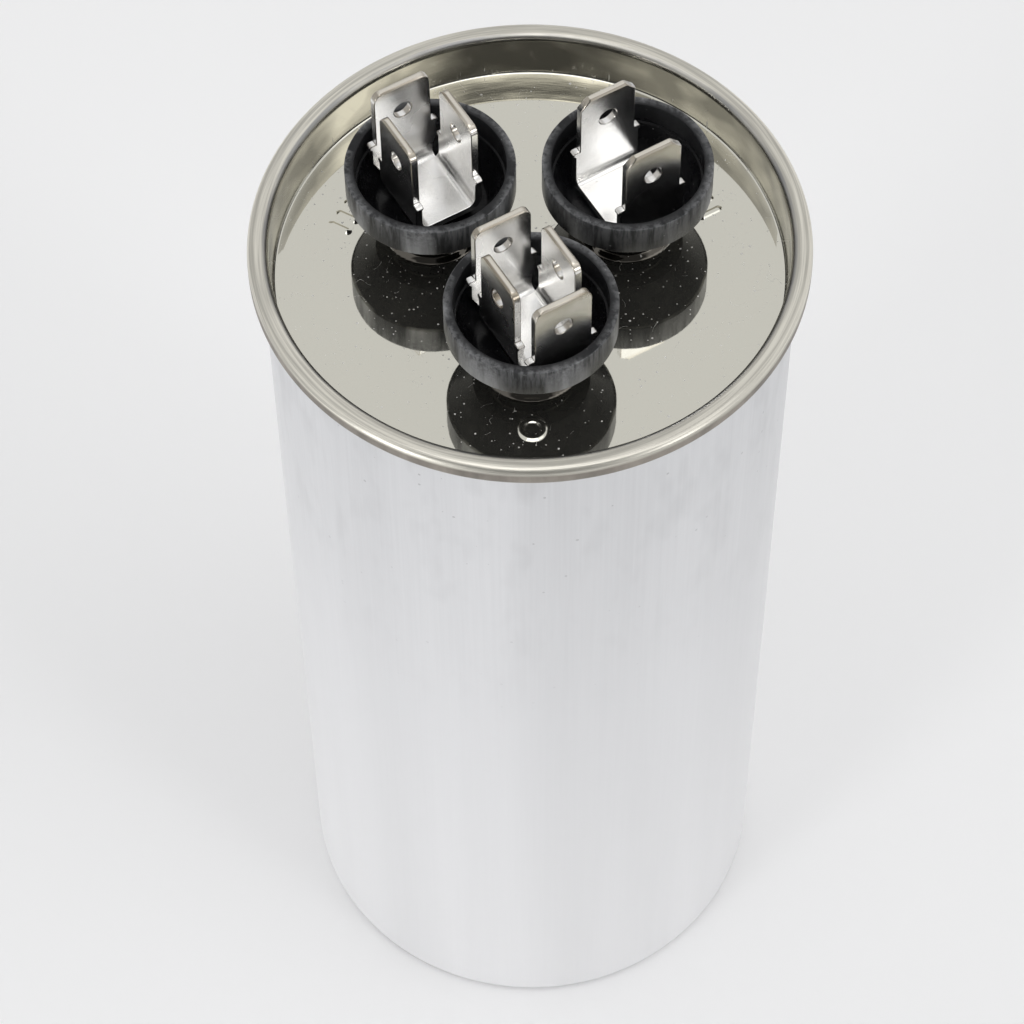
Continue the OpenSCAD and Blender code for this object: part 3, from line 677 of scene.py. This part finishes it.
# Colour attribute of a cup: red on the outside of the band, green on the rim's top face, blue on the outer top edge.
def markZones(mesh, cup):
    at = np.empty(len(mesh.vertices) * 3)
    mesh.vertices.foreach_get("co", at)
    at = at.reshape(-1, 3) / mm
    inward = cup["r"] - np.hypot(at[:, 0] - cup["centre"][0], at[:, 1] - cup["centre"][1])
    down = cup["top"] - at[:, 2]
    s = cupShape
    zone = np.zeros((len(at), 4))
    zone[:, 0] = (inward < s["bandSkin"]) & (down < s["bandH"] + 0.05)
    zone[:, 1] = (inward < s["wall"] + s["rimSkin"]) & (down < s["rimSkin"])
    zone[:, 2] = (inward < s["lipSkin"][0]) & (down < s["lipSkin"][1])
    zone[:, 3] = 1
    layer = mesh.attributes.new("zone", "FLOAT_COLOR", "POINT")
    layer.data.foreach_set("color", zone.ravel())


# Point (cx + r cos a, cy + r sin a, z) of a moulded cup's section about its own axis: spigot, stem, cone, band, rim,
# step, sloping wall, floor and rivet seat. The band's r rises and falls by wave sin(2a) plus ripple sin(9a).
def makeCup(name):
    s, cup = cupShape, cups[name]
    r, top, e, i = cup["r"], cup["top"], s["edgeR"], s["innerR"]
    inner = r - s["wall"]
    low = inner - s["ledgeW"]
    ledge = top - s["ledgeDepth"]
    band = top - s["bandH"]
    floor = panelZ + s["floorH"]
    under = floor - s["floorT"]
    f = s["floorD"] / 2
    boss = panelZ + cover["bossH"]
    profile = np.vstack([
        [[s["boreR"], cup["low"]], [s["spigotR"], cup["low"]], [s["spigotR"], boss], [s["stemR"], boss],
         [s["stemR"], under - s["corner"]]],
        arc((s["stemR"] + s["corner"], under - s["corner"]), s["corner"], 180, 90, 4)[1:],
        [[f + s["underW"], under], [r - s["lipIn"], band - s["lipH"]], [r - e, band]],
        arc((r - e, band + e), e, -90, 0, 4)[1:],
        arc((r - e, top - e), e, 0, 90, 5),
        arc((inner + e, top - e), e, 90, 180, 5),
        arc((inner - i, ledge + i), i, 0, -90, 2),
        arc((low + i, ledge - i), i, 90, 180, 2),
        [[low, ledge - s["straightH"]]],
        [[f + 0.25, floor + 0.2], [f, floor + 0.03], [f - 0.3, floor]],
        [[s["headR"], floor], [s["headR"], floor - s["headDrop"]], [s["boreR"], floor - s["headDrop"]]],
    ])
    profile = np.vstack([profile, profile[:1]])
    phase = cup["centre"][0] * 0.7

    def wobble(r, a, z):
        ripple = s["ripple"] * np.sin(9 * a + 2 * phase) * (r > 7.2) * (z > band)
        return s["wave"] * np.sin(2 * a + phase) * (r > 7) + ripple

    grid = turned(profile, s["cols"], wobble, cup["centre"])
    mesh = gridMesh(name + "Cup", grid * mm)
    faceOut(mesh)
    markZones(mesh, cup)
    shadeSmooth(mesh, 40)
    return newPiece(name + "Cup", mesh, name + "_cup", finishes["black_plastic"])


for name in cups:
    makeCup(name)
print("cups made")


tabEdge = {"width": 0.09, "steps": 2, "angle": 50}


# Copy of a folded tab sheet with its doubles merged and its edges coined round.
def makeTabs(node):
    mesh = frame["nodes"][node].data.copy()
    mesh.name = node.replace("_", "")
    faceOut(mesh, True)
    words = node.split("_")
    name = words[0] + "".join(w.capitalize() for w in words[1:])
    piece = newPiece(name, mesh, node, finishes["tab_plating"])
    shadeSmooth(mesh, 30)
    bevel = piece.modifiers.new("coined", "BEVEL")
    bevel.width = tabEdge["width"] * mm
    bevel.segments = tabEdge["steps"]
    bevel.limit_method = "ANGLE"
    bevel.angle_limit = math.radians(tabEdge["angle"])
    bevel.use_clamp_overlap = True
    even = piece.modifiers.new("even", "WEIGHTED_NORMAL")
    even.keep_sharp = True
    return piece


for node in ("common_lower_tabs", "common_upper_tabs", "herm_rear_tab", "herm_side_tabs", "fan_tabs"):
    makeTabs(node)
print("tabs made")


stage = {"floor": (0.93, 0.93, 0.935), "shade": 0.985, "half": 3.0}
room = {
    "level": 0.74,
    "lobes": {
        "front": {"way": (0, -0.94, 0.34), "inner": 0.80, "outer": 0.70, "level": 0.12},
        "side": {"way": (0.57, -0.19, 0.80), "inner": 0.975, "outer": 0.94, "level": 1.5},
        "over": {"way": (0, -0.24, 0.971), "inner": 0.955, "outer": 0.935, "level": 2.1},
    },
}


# Flat square: point (x, y, 0) for x and y from -half to half.
def makeFloor():
    points = np.array([[[-1, -1, 0], [1, -1, 0]], [[-1, 1, 0], [1, 1, 0]]], float) * stage["half"]
    floor = bpy.data.objects.new("floor", gridMesh("floor", points, closeU=False))
    bpy.context.scene.collection.objects.link(floor)
    made, n = material("paleFloor")
    tone = n.noise(n.coords(), 6, 2, 0.5)
    colour = n.mixColour(n.ramp(tone, 0.3, 0.7), stage["floor"], n.shade(stage["floor"], stage["shade"]))
    n.surface(0.0, 0.6, colour)
    floor.data.materials.append(made)


# Soft room: even pale light, brighter overhead and to the upper right, with a dark card in front.
def makeWorld():
    world = bpy.data.worlds.new("softRoom")
    bpy.context.scene.world = world
    world.use_nodes = True
    n = Nodes(world.node_tree)
    way = n.add("TexCoord")
    colour = (room["level"],) * 3
    for lobe in room["lobes"].values():
        near = n.add("VectorMath", operation="DOT_PRODUCT")
        n.link(way.outputs["Generated"], near.inputs[0])
        near.inputs[1].default_value = lobe["way"]
        colour = n.mixColour(n.ramp(near.outputs["Value"], lobe["outer"], lobe["inner"]), colour, (lobe["level"],) * 3)
    back = n.add("Background")
    n.link(colour, back.inputs["Color"])
    out = n.add("OutputWorld")
    n.link(back.outputs[0], out.inputs["Surface"])


lamps = {
    "softLeft": {"at": (-0.75, -0.75, 0.30), "to": (0, 0, 0.05), "size": 0.30, "watts": 2.3},
    "softRight": {"at": (0.72, -0.62, 0.38), "to": (0, 0, 0.10), "size": 0.24, "watts": 1.0},
}


def makeLamps():
    for name, lamp in lamps.items():
        data = bpy.data.lights.new(name, "AREA")
        data.shape = "DISK"
        data.size = lamp["size"]
        data.energy = lamp["watts"]
        made = bpy.data.objects.new(name, data)
        bpy.context.scene.collection.objects.link(made)
        made.location = lamp["at"]
        way = Vector(lamp["to"]) - made.location
        made.rotation_euler = way.to_track_quat("-Z", "Y").to_euler()


camera = {
    "at": (-2.160, -220.632, 403.103), "to": (-2.160, 0, 58.185), "roll": -0.6835, "lens": 126.57, "shiftY": 0.0405,
}


def makeCamera():
    data = bpy.data.cameras.new("camera")
    data.sensor_width = 36
    data.lens = camera["lens"]
    data.shift_y = camera["shiftY"]
    data.clip_start = 0.01
    made = bpy.data.objects.new("camera", data)
    bpy.context.scene.collection.objects.link(made)
    made.location = Vector(camera["at"]) * mm
    way = Vector(camera["to"]) * mm - made.location
    turn = way.to_track_quat("-Z", "Y").to_matrix() @ Matrix.Rotation(math.radians(camera["roll"]), 3, "Z")
    made.rotation_euler = turn.to_euler()
    bpy.context.scene.camera = made


makeFloor()
makeWorld()
makeLamps()
makeCamera()
bpy.context.scene.view_settings.view_transform = "Standard"
print("stage made")
